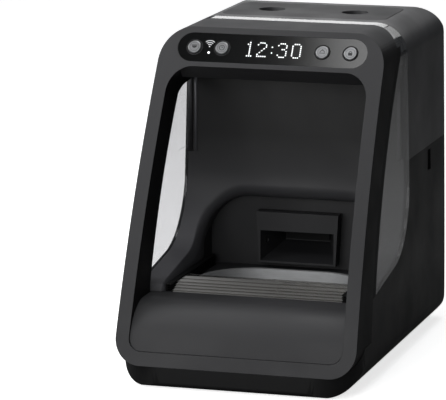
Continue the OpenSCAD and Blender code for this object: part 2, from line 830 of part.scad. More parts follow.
// One shutter slat: two crowned ribs between a pair of tongues that run in the rails
module slat(y, z) {
    rib = slat_w / 2;
    rib_r = (rib * rib / 4 + crown * crown) / (2 * crown);
    translate([0, y, z]) {
        translate([-tongue_hw, 0, 0]) cube([2 * tongue_hw, slat_w, slat_t]);
        for (k = [0, 1]) across(2 * slat_hw) intersection() {
            translate([rib * k + 0.2, 0]) square([rib - 0.4, 3]);
            translate([rib * (k + 0.5), slat_t + crown - rib_r]) circle(r = rib_r, $fn = 180);
        }
    }
}
module shutter_sill() { color(smoke) place() slat(sill_y, slat_z); }
module shutter_slat_1() { color(smoke) place() slat(sill_y + slat_lag, slat_z + slat_step); }
module shutter_slat_2() { color(smoke) place() slat(sill_y + 2 * slat_lag, slat_z + 2 * slat_step); }
module shutter_slat_3() { color(smoke) place() slat(sill_y + 3 * slat_lag, slat_z + 3 * slat_step); }
module shutter_slat_4() {
    color(smoke) place() {
        slat(lead_y, lead_z);
        translate([-slat_hw, lead_y + slat_w - 0.2, lead_z]) cube([2 * slat_hw, 2.1, slat_t + crown]);
        translate([-slat_hw, lead_y + slat_w + seam, lead_z - 3]) cube([2 * slat_hw, 1.6, 3.5]);
    }
}

// Stepped guide for the slats' tongues
module rail(s) {
    lead_room = s > 0 ? 5 : 0;
    color(charcoal) place() difference() {
        translate([s > 0 ? rail_in : -rail_out, sill_y + 0.3, deck_z])
            cube([rail_out - rail_in, rail_end - sill_y, lead_z + slat_t + 1.6 - deck_z]);
        for (k = [0 : slats])
            translate([s > 0 ? rail_in - 1 : -tongue_hw - 0.4, sill_y - 1, slat_z + k * slat_step - groove_gap])
                cube([tongue_hw - rail_in + 1.4 + (k == slats ? lead_room : 0), rail_end - sill_y, slat_t + 2 * groove_gap]);
    }
}
module guide_rail_left() { rail(-1); }
module guide_rail_right() { rail(1); }

// Straight rack on the lead slat's right tongue, teeth down
module shutter_rack() {
    pitch = PI * tooth_m;
    teeth = ceil((shutter_run + 8) / pitch);
    bar_z = pinion_z + pinion_r + tooth_m * 1.25;
    ahead = round((teeth * pitch - slats * slat_lag - 5.3) / pitch - 0.5) + 0.5;
    y0 = pinion_y - ahead * pitch;
    color(white) place() {
        translate([tongue_hw, lead_y + 3, lead_z]) cube([rack_x + 2 - tongue_hw, slat_w - 6, slat_t]);
        translate([rack_x, lead_y + 3, bar_z]) cube([2, slat_w - 6, lead_z + slat_t - bar_z]);
        translate([rack_x, y0, bar_z]) cube([rack_w, teeth * pitch, 2]);
        across(rack_w, rack_x + rack_w / 2) for (k = [0 : teeth - 1])
            translate([y0 + (k + 0.5) * pitch, bar_z]) polygon([[-1.2, 0.1], [1.2, 0.1], [0.34, -2.1], [-0.34, -2.1]]);
    }
}

module shutter_pinion() {
    color(white) place() translate([rack_x - 0.4, pinion_y, pinion_z]) rotate([0, 90, 0]) {
        cylinder(r = pinion_r - 1.25 * tooth_m, h = rack_w + 0.8);
        for (k = [0 : pinion_n - 1]) rotate((k + 0.5) * 360 / pinion_n) linear_extrude(rack_w + 0.8)
            polygon([[pinion_r - 1.6, -1.15], [pinion_r, -0.68], [pinion_r + 0.85, -0.3],
                [pinion_r + 0.85, 0.3], [pinion_r, 0.68], [pinion_r - 1.6, 1.15]]);
        cylinder(r = pinion_shaft_r, h = rack_w + 8, $fn = 32);
    }
}

// Flat gear motor between the bay and the side wall
module shutter_motor() {
    x0 = rack_x + rack_w + 1;
    x1 = half_w(pinion_z + 11) - wall - 0.3;
    color([0.25, 0.25, 0.27]) place() translate([x0, pinion_y, pinion_z]) rotate([0, 90, 0]) difference() {
        union() {
            cylinder(r = 5, h = 3);
            translate([0, 0, 2]) cylinder(r = 10.5, h = x1 - x0 - 2);
        }
        translate([0, 0, -1]) cylinder(r = pinion_shaft_r + run_gap, h = 8.5, $fn = 32);
    }
}

module top_lid() {
    color(lid_grey) place() translate([0, lid_mid, body_h]) difference() {
        union() {
            translate([0, 0, -lid_t]) linear_extrude(lid_t) round_box(lid_w, lid_l, lid_corner);
            translate([0, 0, -lid_t - 7]) linear_extrude(7.1) difference() {
                round_box(lid_w - 2 * lid_ledge - 4, lid_l - 2 * lid_ledge - 4, lid_corner - 5);
                round_box(lid_w - 2 * lid_ledge - 8.4, lid_l - 2 * lid_ledge - 8.4, lid_corner - 7);
            }
            for (s = [-1, 1]) translate([s * 45, 1, -grip_deep - 2]) cylinder(r = grip_r + 2, h = grip_deep);
        }
        for (s = [-1, 1]) translate([s * 45, 1, -grip_deep]) cylinder(r1 = grip_r - 3, r2 = grip_r, h = grip_deep + 0.01);
    }
}

// Soft gasket round the lid's skirt
module lid_seal() {
    color(rubber_black) place() translate([0, lid_mid, ledge_z + 0.1]) linear_extrude(2.1) difference() {
        round_box(lid_w - 2 * lid_ledge - 1.2, lid_l - 2 * lid_ledge - 1.2, lid_corner - 4.4);
        round_box(lid_w - 2 * lid_ledge - 4, lid_l - 2 * lid_ledge - 4, lid_corner - 5);
    }
}

// Vented box for the drying pack, which clips under the lid
module desiccant_box() {
    color(white) place() translate([0, lid_mid + 21, body_h - lid_t - 16]) difference() {
        translate([-28, -14, 0]) cube([56, 28, 16]);
        translate([-26, -12, 1.6]) cube([52, 24, 15]);
        for (k = [-3 : 3]) translate([k * 7 - 1.2, -9, -1]) cube([2.4, 18, 4]);
    }
}

module desiccant_bag() {
    color(white) place() translate([-25.7, lid_mid + 9.3, body_h - lid_t - 14.1]) cube([51.4, 23.4, 10]);
}

module main_board() {
    color(board_green) place() {
        translate([-50, 328, 16]) cube([100, 28, board_t]);
        translate([-30, 333, 16]) cube([18, 18, 3.6]);
        translate([12, 336, 16]) cube([26, 12, 9]);
        for (x = [-46, 46], y = [332, 352])
            translate([x, y, foot_h + wall]) cylinder(r = 3, h = 16 - foot_h - wall, $fn = 24);
    }
}

module battery_box() {
    color(charcoal) place() translate([-cell_bay[0] / 2, cell_y, foot_h + wall]) difference() {
        translate([-2, -2, 0]) cube(cell_bay + [4, 4, 2]);
        translate([0, 0, -1]) cube(cell_bay + [0, 0, 1]);
    }
}
module battery_cells() {
    color([0.5, 0.5, 0.2]) place() for (s = [-1, 1], k = [0.5, 1.5])
        translate([s > 0 ? 0.7 : -0.7 - cell_l, cell_y + k * cell_bay[1] / 2, foot_h + wall + cell_r + seam])
            rotate([0, 90, 0]) cylinder(r = cell_r, h = cell_l);
}
module battery_door() {
    color(charcoal) place() translate([seam - cell_bay[0] / 2, cell_y + seam, foot_h])
        cube([cell_bay[0] - 2 * seam, cell_bay[1] - 2 * seam, wall]);
}

module dc_inlet() {
    color([0.05, 0.05, 0.05]) place() difference() {
        union() {
            translate([60, body_d - 0.6, inlet_z]) rotate([90, 0, 0]) cylinder(r = 5, h = wall);
            translate([53, body_d - wall - 12.2, inlet_z - 7]) cube([14, 12, 14]);
        }
        translate([60, body_d + 1, inlet_z]) rotate([90, 0, 0]) cylinder(r = 2.9, h = 12, $fn = 32);
    }
    color(steel) place() translate([60, body_d - wall - 0.4, inlet_z]) rotate([90, 0, 0]) cylinder(r = 1, h = 9, $fn = 24);
}

lower_shell();
base_plate();
rubber_feet();
base_screws();
front_frame();
frame_back();
antenna_coil();
front_apron();
canopy();
inner_liner();
bay_housing();
upper_shell();
hopper();
rotor_housing();
chute();
feed_motor();
bowl_deck();
food_bowl();
shutter_sill();
guide_rail_left();
guide_rail_right();
shutter_motor();
panel_lens();
display_module();
panel_board();
keypad();
status_led();
main_board();
battery_box();
battery_cells();
battery_door();
dc_inlet();
food_sensor();
flap_pin();
top_lid();
lid_seal();
desiccant_box();
desiccant_bag();
button_1();
button_2();
button_3();
button_4();
shutter_slat_1();
shutter_slat_2();
shutter_slat_3();
shutter_slat_4();
shutter_rack();
shutter_pinion();
feed_rotor();
rotor_shaft();
chute_flap();
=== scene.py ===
"""Looks of a hooded pet feeder: moulded black shells, a clear canopy, a steel bowl under a slatted shutter and a
glossy control panel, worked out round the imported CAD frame. Lengths in the text are millimetres; the scene is in
metres."""
import math

import bpy
import numpy as np
from mathutils import Matrix, Vector


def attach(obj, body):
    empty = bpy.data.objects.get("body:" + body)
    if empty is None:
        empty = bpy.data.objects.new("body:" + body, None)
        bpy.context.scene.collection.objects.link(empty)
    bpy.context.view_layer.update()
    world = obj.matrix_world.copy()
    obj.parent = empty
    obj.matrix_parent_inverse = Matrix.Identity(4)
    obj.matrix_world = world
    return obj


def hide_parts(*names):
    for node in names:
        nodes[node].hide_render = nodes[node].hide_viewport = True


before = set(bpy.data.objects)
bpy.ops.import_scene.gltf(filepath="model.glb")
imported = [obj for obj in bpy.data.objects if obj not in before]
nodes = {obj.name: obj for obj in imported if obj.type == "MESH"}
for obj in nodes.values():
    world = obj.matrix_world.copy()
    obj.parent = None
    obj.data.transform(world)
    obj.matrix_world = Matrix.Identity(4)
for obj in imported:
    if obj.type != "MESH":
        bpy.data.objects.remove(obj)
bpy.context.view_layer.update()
MM = 0.001

# Sizes that several finishes and pieces share. The row frame's origin lies 200 behind the casing's front edge.
front_y = 200.0
# The casing's half width at z 2, and what it loses for each millimetre above that.
foot_half, foot_z, draft = 125.0, 2.0, 0.0235
# The front frame's rear arc in side view: centre from the front edge, centre height and radius.
arc_y, arc_z, arc_r = 636.9, -55.0, 580.0
# Noise keeps mostly between 0.3 and 0.7, as a MapRange node's from and to.
noise_span = {"in1": 0.3, "in2": 0.7}


def casing_half(z):
    """Half width of the casing at a height: 125 - 0.0235 (z - 2)."""
    return foot_half - draft * (z - foot_z)


def in_frame(points):
    """Points in mm from the front edge to the row frame's metres."""
    return (points - [0, front_y, 0]) * MM


def linear(code, alpha=1.0):
    """sRGB hex to the linear colour that shaders take."""
    c = np.array([int(code[i : i + 2], 16) for i in (1, 3, 5)]) / 255
    return (*np.where(c <= 0.04045, c / 12.92, ((c + 0.055) / 1.055) ** 2.4), alpha)


def add(owner, kind, links=(), **settings):
    """Adds one node to a material, a world or a node group.

    A setting sets a property or an input, where in3 is input 3. Links are (input, node, output) of nodes made before.
    """
    tree = getattr(owner, "node_tree", owner)
    n = tree.nodes.new(kind)
    for key, value in settings.items():
        if hasattr(n, key):
            setattr(n, key, value)
            continue
        numbered = key.startswith("in") and key[2:].isdigit()
        socket = n.inputs[int(key[2:]) if numbered else key.replace("_", " ")]
        socket.default_value = value
    for here, other, there in links:
        tree.links.new(other.outputs[there], n.inputs[here])
    return n


def finish_of(name):
    """A new empty material and its Object coordinates."""
    mat = bpy.data.materials.new(name)
    mat.use_nodes = True
    mat.node_tree.nodes.clear()
    return mat, add(mat, "ShaderNodeTexCoord")


def show(mat, shader):
    """Puts a shader on the material's surface."""
    add(mat, "ShaderNodeOutputMaterial", [("Surface", shader, 0)])
    return mat


def moulded(
    name, colour, roughness, grain, depth, ior=1.54, edge=0.6, wear=0.06, coat=0.0, specular=0.5, side=None, high=None
):
    """Moulded plastic: spark-eroded grain of a given size, a little unevenness in gloss, soft tool-radius edges.

    A second colour may be given as painted shade, for the faces that look sideways, which are duller too, or for what
    lies high up. The first comes in as the normal's x goes from 0.75 to 0.9, the second as z goes from 115 to 220.
    """
    patch, side_specular = 55, 0.14
    mat, place = finish_of(name)
    fine = add(
        mat, "ShaderNodeTexNoise", [("Vector", place, "Object")], Scale=1 / (grain * MM), Detail=2.0, Roughness=0.6
    )
    broad = add(mat, "ShaderNodeTexNoise", [("Vector", place, "Object")], Scale=1 / (patch * MM), Detail=3.0)
    gloss = add(mat, "ShaderNodeMapRange", [(0, broad, 0)], in3=roughness - wear, in4=roughness + wear, **noise_span)
    rim = add(mat, "ShaderNodeBevel", samples=6, Radius=edge * MM)
    bump = add(mat, "ShaderNodeBump", [("Height", fine, 0), ("Normal", rim, 0)], Strength=0.5, Distance=depth * MM)
    shader = add(
        mat,
        "ShaderNodeBsdfPrincipled",
        [("Roughness", gloss, 0), ("Normal", bump, 0)],
        Base_Color=linear(colour),
        IOR=ior,
        Specular_IOR_Level=specular,
        Coat_Weight=coat,
        Coat_Roughness=roughness,
    )
    # Painted shade: a darker colour on the sideways faces, or higher up.
    if side or high:
        axes = add(mat, "ShaderNodeSeparateXYZ", [(0, place, "Normal" if side else "Object")])
        if side:
            across = add(mat, "ShaderNodeMath", [(0, axes, 0)], operation="ABSOLUTE")
            shade_mask = add(mat, "ShaderNodeMapRange", [(0, across, 0)], in1=0.75, in2=0.9)
            dull = add(mat, "ShaderNodeMapRange", [(0, shade_mask, 0)], in3=specular, in4=side_specular)
            mat.node_tree.links.new(dull.outputs[0], shader.inputs["Specular IOR Level"])
        else:
            shade_mask = add(mat, "ShaderNodeMapRange", [(0, axes, 2)], in1=115 * MM, in2=220 * MM)
        painted_shade = add(mat, "ShaderNodeMix", [(0, shade_mask, 0)], data_type="RGBA", in6=linear(colour), in7=linear(side or high))
        mat.node_tree.links.new(painted_shade.outputs[2], shader.inputs["Base Color"])
    return show(mat, shader)


# ABS, fine-eroded mould: the ring and apron scatter the light softly, with a faint grain. The ring's sides carry
# painted shade: a darker colour and a lower specular level.
ring_abs = moulded("abs_graphite_fine_grain", "#373739", 0.55, 0.55, 0.035, specular=0.36, side="#151516")
# ABS, satin mould: the lower body is nearly black and a little smoother.
body_abs = moulded("abs_black_satin", "#141415", 0.5, 0.7, 0.03, specular=0.24)
# ABS, polished mould with shallow grain: the upper shell is paler, and its roll carries a soft highlight.
upper_abs = moulded("abs_black_semi_gloss", "#3e3e40", 0.42, 0.9, 0.012)
# ABS, satin mould: the lid is an even dark grey that dulls the light from above.
lid_abs = moulded("abs_grey_satin", "#2e2e30", 0.5, 0.6, 0.03, specular=0.35)
# ABS inside the hood, with painted shade: the wall above the seat's ramp and arms darkens from z 115 to 220.
shaded_inner_abs = moulded("abs_black_matt_inner", "#525255", 0.5, 0.6, 0.04, specular=0.4, high="#161617")
# ABS of hidden mouldings: plain dark grey with the mould's even texture.
hidden_abs = moulded("abs_black_plain_inner", "#262627", 0.5, 0.8, 0.02)
# ABS inside the bay, out of the light: the wall, the chute and the deck stay close to black.
bay_abs = moulded("abs_black_matt_bay", "#28282a", 0.55, 0.6, 0.04, specular=0.4)
# Moulded acetal of the rails and the flap: the darkest finish, without any glint.
rail_abs = moulded("acetal_black_rail", "#0b0b0c", 0.6, 0.6, 0.02, ior=1.48, specular=0.2)
# ABS of the wall's upright ribs, mid grey as a painted highlight: they show as pale lines through the window.
rib_highlight_abs = moulded("abs_grey_rib", "#66666a", 0.5, 0.6, 0.02)
# Polished acrylic over black print: the lens mirrors the room like dark glass. Its front and its back face both
# mirror, so a coat stands for the second one.
lens_acrylic = moulded("acrylic_black_polished", "#010101", 0.14, 40, 0.002, 1.49, edge=0.3, wear=0.01, coat=1.0)


def metal(name, colour, roughness, lines, along, depth=0.004):
    """Metal with a brushed or turned lay: noise stretched along the lay gives the lines, at a real spacing."""
    mat, place = finish_of(name)
    scale = 1 / (lines * MM)
    lay = add(mat, "ShaderNodeMapping", [("Vector", place, "Object")], Scale=tuple(scale * a for a in along))
    fine = add(mat, "ShaderNodeTexNoise", [("Vector", lay, 0)], Scale=1.0, Detail=3.0)
    gloss = add(mat, "ShaderNodeMapRange", [(0, fine, 0)], in3=roughness - 0.05, in4=roughness + 0.07, **noise_span)
    rim = add(mat, "ShaderNodeBevel", samples=4, Radius=0.3 * MM)
    bump = add(mat, "ShaderNodeBump", [("Height", fine, 0), ("Normal", rim, 0)], Strength=0.4, Distance=depth * MM)
    shader = add(
        mat,
        "ShaderNodeBsdfPrincipled",
        [("Roughness", gloss, 0), ("Normal", bump, 0)],
        Base_Color=linear(colour),
        Metallic=1.0,
    )
    return show(mat, shader)


# Stainless steel, brushed round the bowl: a pale, matt grey with level lines.
bowl_steel = metal("stainless_steel_brushed", "#c4c5c6", 0.7, 0.8, (0.08, 0.08, 1.0))
# Zinc, satin plated: the caps are a softer, darker silver, brushed from side to side.
cap_steel = metal("zinc_satin_plated", "#a2a3a5", 0.38, 0.5, (0.05, 1.0, 1.0), 0.006)
# Turned steel: pins and screws glint along their length.
pin_steel = metal("steel_turned", "#9b9c9e", 0.28, 0.4, (1.0, 0.1, 0.1))
# Enamelled copper wire: the winding shines reddish brown, turn beside turn.
coil_copper = metal("copper_enamelled_wire", "#b06a38", 0.3, 0.6, (0.1, 1.0, 1.0), 0.05)


def clear_sheet(name, tint, haze, ior, rough=0.04, inner=1.0, band=0.0):
    """Clear moulding: each face lets the view through, tinted, under a little haze, and mirrors more at a flat angle.

    The mirrored share is f + (1 - f) * facing^5, with f from the index; it is the same from inside and outside.
    Faces that look towards the middle plane, x nx < 0, mirror only the inner part of that, as a matt inside does.
    A band of the given width along the front frame's rear arc is black below a height.
    """
    wave_long, speck_wide, band_top = 60, 1.2, 322
    mat, place = finish_of(name)
    mat.use_transparent_shadow = True
    wave = add(mat, "ShaderNodeTexNoise", [("Vector", place, "Object")], Scale=1 / (wave_long * MM), Detail=1.0)
    bump = add(mat, "ShaderNodeBump", [("Height", wave, 0)], Strength=0.01, Distance=0.3 * MM)
    through = add(mat, "ShaderNodeBsdfTransparent", Color=linear(tint))
    body = add(
        mat, "ShaderNodeBsdfPrincipled", [("Normal", bump, 0)], Base_Color=linear("#8a8b8d"), Roughness=rough, IOR=ior
    )
    gloss = add(mat, "ShaderNodeBsdfGlossy", [("Normal", bump, 0)], Color=(1, 1, 1, 1), Roughness=rough)
    speck = add(mat, "ShaderNodeTexNoise", [("Vector", place, "Object")], Scale=1 / (speck_wide * MM), Detail=2.0)
    mist = add(mat, "ShaderNodeMapRange", [(0, speck, 0)], in3=haze * 0.8, in4=haze * 1.2, **noise_span)
    facing = add(mat, "ShaderNodeLayerWeight", Blend=0.5)
    steep = add(mat, "ShaderNodeMath", [(0, facing, "Facing")], operation="POWER", in1=5.0)
    share = add(mat, "ShaderNodeMapRange", [(0, steep, 0)], in1=0.0, in2=1.0, in3=((ior - 1) / (ior + 1)) ** 2, in4=1.0)
    veil = add(mat, "ShaderNodeMixShader", [(0, mist, 0), (1, through, 0), (2, body, 0)])
    spot = add(mat, "ShaderNodeSeparateXYZ", [(0, place, "Object")])
    way = add(mat, "ShaderNodeSeparateXYZ", [(0, place, "Normal")])
    outward = add(mat, "ShaderNodeMath", [(0, spot, 0), (1, way, 0)], operation="MULTIPLY")
    kept = add(mat, "ShaderNodeMapRange", [(0, outward, 0)], in1=-0.02, in2=0.0, in3=inner, in4=1.0)
    mirror = add(mat, "ShaderNodeMath", [(0, share, 0), (1, kept, 0)], operation="MULTIPLY")
    sheet = add(mat, "ShaderNodeMixShader", [(0, mirror, 0), (1, veil, 0), (2, gloss, 0)])
    if not band:
        return show(mat, sheet)
    centre = (0, (arc_y - front_y) * MM, arc_z * MM)
    flat = add(mat, "ShaderNodeVectorMath", [(0, place, "Object")], operation="MULTIPLY", in1=(0, 1, 1))
    arc = add(mat, "ShaderNodeVectorMath", [(0, flat, 0)], operation="DISTANCE", in1=centre)
    close = add(mat, "ShaderNodeMath", [(0, arc, "Value")], operation="GREATER_THAN", in1=(arc_r - band) * MM)
    low = add(mat, "ShaderNodeMath", [(0, spot, 2)], operation="LESS_THAN", in1=band_top * MM)
    near = add(mat, "ShaderNodeMath", [(0, close, 0), (1, low, 0)], operation="MULTIPLY")
    black = add(mat, "ShaderNodeBsdfPrincipled", Base_Color=linear("#141415"), Roughness=0.55, Specular_IOR_Level=0.12)
    return show(mat, add(mat, "ShaderNodeMixShader", [(0, near, 0), (1, sheet, 0), (2, black, 0)]))


def smoke_slat(name, tint, colour):
    """Smoke-clear moulding, a broad rib every 16 mm: a milky painted highlight on the upper faces, clear between ribs.

    The ribs of a slat lie over those of the next, 5.6 back and 1.8 up, so they are counted along y - z 5.6 / 1.8,
    from y -118, z 80.1. The painted highlight is stronger at the left.
    """
    step, skew, start_y, start_z = 16, 5.6 / 1.8, -118, 80.1
    mat, place = finish_of(name)
    mat.use_transparent_shadow = True
    along = (0, 1 / (step * MM), -skew / (step * MM))
    run = add(mat, "ShaderNodeVectorMath", [(0, place, "Object")], operation="DOT_PRODUCT", in1=along)
    turn = add(mat, "ShaderNodeMath", [(0, run, "Value")], operation="ADD", in1=(start_z * skew - start_y) / step)
    rib = add(mat, "ShaderNodeMath", [(0, turn, 0)], operation="FRACT")
    band = add(mat, "ShaderNodeValToRGB", [(0, rib, 0)])
    for k, (at, value) in enumerate(((0.0, 0.0), (0.06, 1.0), (0.44, 0.9), (0.56, 0.0))):
        stop = band.color_ramp.elements[k] if k < 2 else band.color_ramp.elements.new(at)
        stop.position, stop.color = at, (value, value, value, 1)
    axes = add(mat, "ShaderNodeSeparateXYZ", [(0, place, "Object")])
    # Painted highlight: the milky veil fades from the left end towards the middle, on upward faces only.
    side = add(mat, "ShaderNodeMapRange", [(0, axes, 0)], in1=-90 * MM, in2=20 * MM, in3=0.7, in4=0.31)
    tilt_up = add(mat, "ShaderNodeSeparateXYZ", [(0, place, "Normal")])
    upper = add(mat, "ShaderNodeMath", [(0, tilt_up, 2)], operation="GREATER_THAN", in1=0.6)
    left_heavy_highlight = add(mat, "ShaderNodeMath", [(0, band, 0), (1, side, 0)], operation="MULTIPLY")
    painted_rib_highlight = add(mat, "ShaderNodeMath", [(0, left_heavy_highlight, 0), (1, upper, 0)], operation="MULTIPLY")
    through = add(mat, "ShaderNodeBsdfTransparent", Color=linear(tint))
    body = add(mat, "ShaderNodeBsdfDiffuse", Color=linear(colour))
    veil = add(mat, "ShaderNodeMixShader", [(0, painted_rib_highlight, 0), (1, through, 0), (2, body, 0)])
    gloss = add(mat, "ShaderNodeBsdfGlossy", Color=(1, 1, 1, 1), Roughness=0.25)
    shine = add(mat, "ShaderNodeMath", [(0, upper, 0)], operation="MULTIPLY", in1=0.05)
    return show(mat, add(mat, "ShaderNodeMixShader", [(0, shine, 0), (1, veil, 0), (2, gloss, 0)]))


# Moulded polycarbonate: the canopy is clear with a faint smoke tint, and edged with a black band beside the ring.
canopy_clear = clear_sheet("polycarbonate_clear_hoop", "#e5e5e6", 0.09, 1.58, inner=0.3, band=11)
# Moulded smoke polycarbonate: the slats show milky ribs of painted highlight, stronger at the left, with dark lines
# between them.
slat_smoke = smoke_slat("polycarbonate_smoke_slat", "#d8d7d5", "#cac9c7")
# Moulded polypropylene: the tank is cloudy and dull, and lets only half of the view through.
tank_cloudy = clear_sheet("polypropylene_cloudy_tank", "#c4c5c7", 0.5, 1.49, 0.3)


def plain(name, colour, roughness, spot, ior=1.5, vary=0.12, light=0.0, sheen=0.0):
    """Small parts: one colour, mottled by a few per cent over spots of a real size."""
    mat, place = finish_of(name)
    spots = add(mat, "ShaderNodeTexNoise", [("Vector", place, "Object")], Scale=1 / (spot * MM), Detail=3.0)
    c = np.array(linear(colour))
    ramp = add(mat, "ShaderNodeValToRGB", [(0, spots, 0)])
    for stop, at, shade in zip(ramp.color_ramp.elements, (0.3, 0.7), (1 - vary, 1 + vary)):
        stop.position, stop.color = at, (*(c[:3] * shade).clip(0, 1), 1)
    bump = add(mat, "ShaderNodeBump", [("Height", spots, 0)], Strength=0.3, Distance=0.02 * MM)
    shader = add(
        mat,
        "ShaderNodeBsdfPrincipled",
        [("Base Color", ramp, 0), ("Normal", bump, 0)],
        Roughness=roughness,
        IOR=ior,
        Sheen_Weight=sheen,
    )
    if light:
        shader.inputs["Emission Color"].default_value = linear(colour)
        shader.inputs["Emission Strength"].default_value = light
    return show(mat, shader)


# Moulded silicone of the keypad and the seal: soft, dull black.
collar_rubber = plain("silicone_black", "#161617", 0.5, 1.0, 1.41)
# Moulded rubber: the feet look dusty and have no glint.
foot_rubber = plain("rubber_black_moulded", "#1c1c1d", 0.75, 0.8, 1.52)
# Solder mask over fibreglass: deep, shiny green boards.
mask_green = plain("solder_mask_green", "#12452c", 0.3, 6.0)
# PVC sleeve, shrunk on: the cells are an even brassy brown with a tight gloss.
jacket = plain("pvc_cell_jacket", "#7d6a2a", 0.3, 12.0)
# Stoved enamel on the motors' steel cans: smooth mid grey.
motor_paint = plain("enamel_grey_motor", "#4a4b4e", 0.35, 9.0)
# Moulded acetal: rack, pinion and drying box are a waxy white.
acetal = plain("acetal_white", "#d9d8d2", 0.4, 5.0, 1.48, 0.03)
# Moulded silicone: the rotor's vanes are a soft, even orange.
vane_rubber = plain("silicone_orange", "#b3591f", 0.5, 5.0, 1.41)
# Nonwoven cloth: the drying bag is matt white, with a little fuzz at its edges.
bag_cloth = plain("nonwoven_white", "#dcdbd6", 0.9, 0.6, 1.46, 0.08, sheen=0.3)
# Dots lit from behind the lens: clean white that stays bright in the dark panel.
print_white = plain("white_dot_light", "#f4f6f7", 0.4, 0.5, vary=0.02, light=1.2)
# Pad print lit from behind: the signal mark is paler than the lens and weaker than the dots.
print_pale = plain("pale_pad_print", "#d4d5d7", 0.5, 0.5, vary=0.03, light=0.35)
# Pad print on the lens: rings that are only just told from the black.
print_faint = plain("faint_pad_print", "#3c3c3e", 0.5, 0.5, vary=0.03)
# Pad print on the caps: dark grey signs on silver, and the grooves' painted shade.
print_dark = plain("dark_pad_print", "#29292b", 0.5, 0.5, vary=0.03)

finishes = {
    ring_abs: "front_frame front_apron",
    body_abs: "lower_shell base_plate battery_door",
    upper_abs: "upper_shell",
    lid_abs: "top_lid",
    shaded_inner_abs: "inner_liner",
    bay_abs: "bay_housing chute bowl_deck",
    rail_abs: "guide_rail_left guide_rail_right chute_flap",
    hidden_abs: "frame_back battery_box rotor_housing dc_inlet display_module food_sensor",
    canopy_clear: "canopy",
    tank_cloudy: "hopper",
    slat_smoke: "shutter_sill shutter_slat_1 shutter_slat_2 shutter_slat_3 shutter_slat_4",
    lens_acrylic: "panel_lens",
    bowl_steel: "food_bowl",
    cap_steel: "button_1 button_2 button_3 button_4",
    pin_steel: "base_screws flap_pin rotor_shaft",
    coil_copper: "antenna_coil",
    collar_rubber: "keypad lid_seal",
    foot_rubber: "rubber_feet",
    mask_green: "panel_board main_board",
    jacket: "battery_cells",
    motor_paint: "feed_motor shutter_motor",
    acetal: "shutter_rack shutter_pinion desiccant_box",
    vane_rubber: "feed_rotor",
    bag_cloth: "desiccant_bag",
    print_white: "status_led",
}
for mat, names in finishes.items():
    for name in names.split():
        nodes[name].data.materials.clear()
        nodes[name].data.materials.append(mat)


def mesh_group(name):
    """A new geometry node group that takes one mesh and gives one, and its input node."""
    group = bpy.data.node_groups.new(name, "GeometryNodeTree")
    for way in ("INPUT", "OUTPUT"):
        group.interface.new_socket("Geometry", in_out=way, socket_type="NodeSocketGeometry")
    return group, add(group, "NodeGroupInput")


# Corners drawn as short facets in the CAD are shaded as the round corners that they stand for.
smoothing, loose = mesh_group("round_corners")
weld = add(smoothing, "GeometryNodeMergeByDistance", [(0, loose, 0)], Distance=0.001 * MM)
bare = add(smoothing, "GeometryNodeRemoveAttribute", [(0, weld, 0)], Name="custom_normal")
soft = add(smoothing, "GeometryNodeSetShadeSmooth", [(0, bare, 0)])
bend_at = add(smoothing, "GeometryNodeInputMeshEdgeAngle")
facet = math.radians(26)
blunt = add(smoothing, "FunctionNodeCompare", [(0, bend_at, "Unsigned Angle")], operation="LESS_THAN", in1=facet)
edges = add(smoothing, "GeometryNodeSetShadeSmooth", [(0, soft, 0), ("Shade Smooth", blunt, 0)], domain="EDGE")
add(smoothing, "NodeGroupOutput", [(0, edges, 0)])


def round_shading(obj):
    """Welds the loose triangles, smooths edges under 26 degrees and keeps the flats flat by weighting with area."""
    obj.modifiers.new("round_corners", "NODES").node_group = smoothing
    flats = obj.modifiers.new("flat_faces", "WEIGHTED_NORMAL")
    flats.keep_sharp, flats.weight = True, 80


for cad in nodes.values():
    round_shading(cad)


def piece(name, points, faces, mat, body, slot, smooth=True):
    """A mesh object from an array of points and a list of faces, riding on a body."""
    mesh = bpy.data.meshes.new(name)
    mesh.from_pydata(points.tolist(), [], faces)
    mesh.materials.append(mat)
    mesh.polygons.foreach_set("use_smooth", np.full(len(mesh.polygons), smooth))
    mesh.validate()
    mesh.update()
    obj = bpy.data.objects.new(name, mesh)
    bpy.context.scene.collection.objects.link(obj)
    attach(obj, body)
    return obj


# The seat-shaped liner, in mm from the front: a nose, a ramp, an arc and an upright wall in side view.
nose_r, ramp_tilt, nose_at = 8.0, math.radians(9), -86.3
seat_r, seat_y, seat_z = 75.0, 157.0, 177.0
bend = seat_r * (math.pi / 2 - ramp_tilt)
liner_top, liner_inset = 308.2, 3.3
# The arch in it: half width and crown, its corners' radius, and what crown and radius lose over its depth.
arch_half, crown, corner_r = 95.0, 182.0, 60.0
arch_y, arch_deep, crown_fall, corner_loss = 40.5, 220.0, 33.0, 20.0


def seat(s):
    """Side view by length s: a nose of 8, a 9 degree ramp up to s = 0, an arc of 75 about (157, 177), then straight up.

    Gives y and z, and the direction (y, z) along the profile.
    """
    s = np.asarray(s, float)
    turn = ramp_tilt + np.clip(nose_at - s, 0, None) / nose_r
    a = np.clip(s, 0, bend) / seat_r - (math.pi / 2 - ramp_tilt)
    ramp, rise = np.clip(s, nose_at, 0), np.clip(s - bend, 0, None)
    y = seat_y + seat_r * np.cos(a) + ramp * math.cos(ramp_tilt) - nose_r * (np.sin(turn) - math.sin(ramp_tilt))
    z = seat_z + seat_r * np.sin(a) + ramp * math.sin(ramp_tilt) + rise + nose_r * (np.cos(turn) - math.cos(ramp_tilt))
    way = np.where(s < nose_at, turn, np.pi / 2 + a)
    return y, z, np.cos(way), np.sin(way)


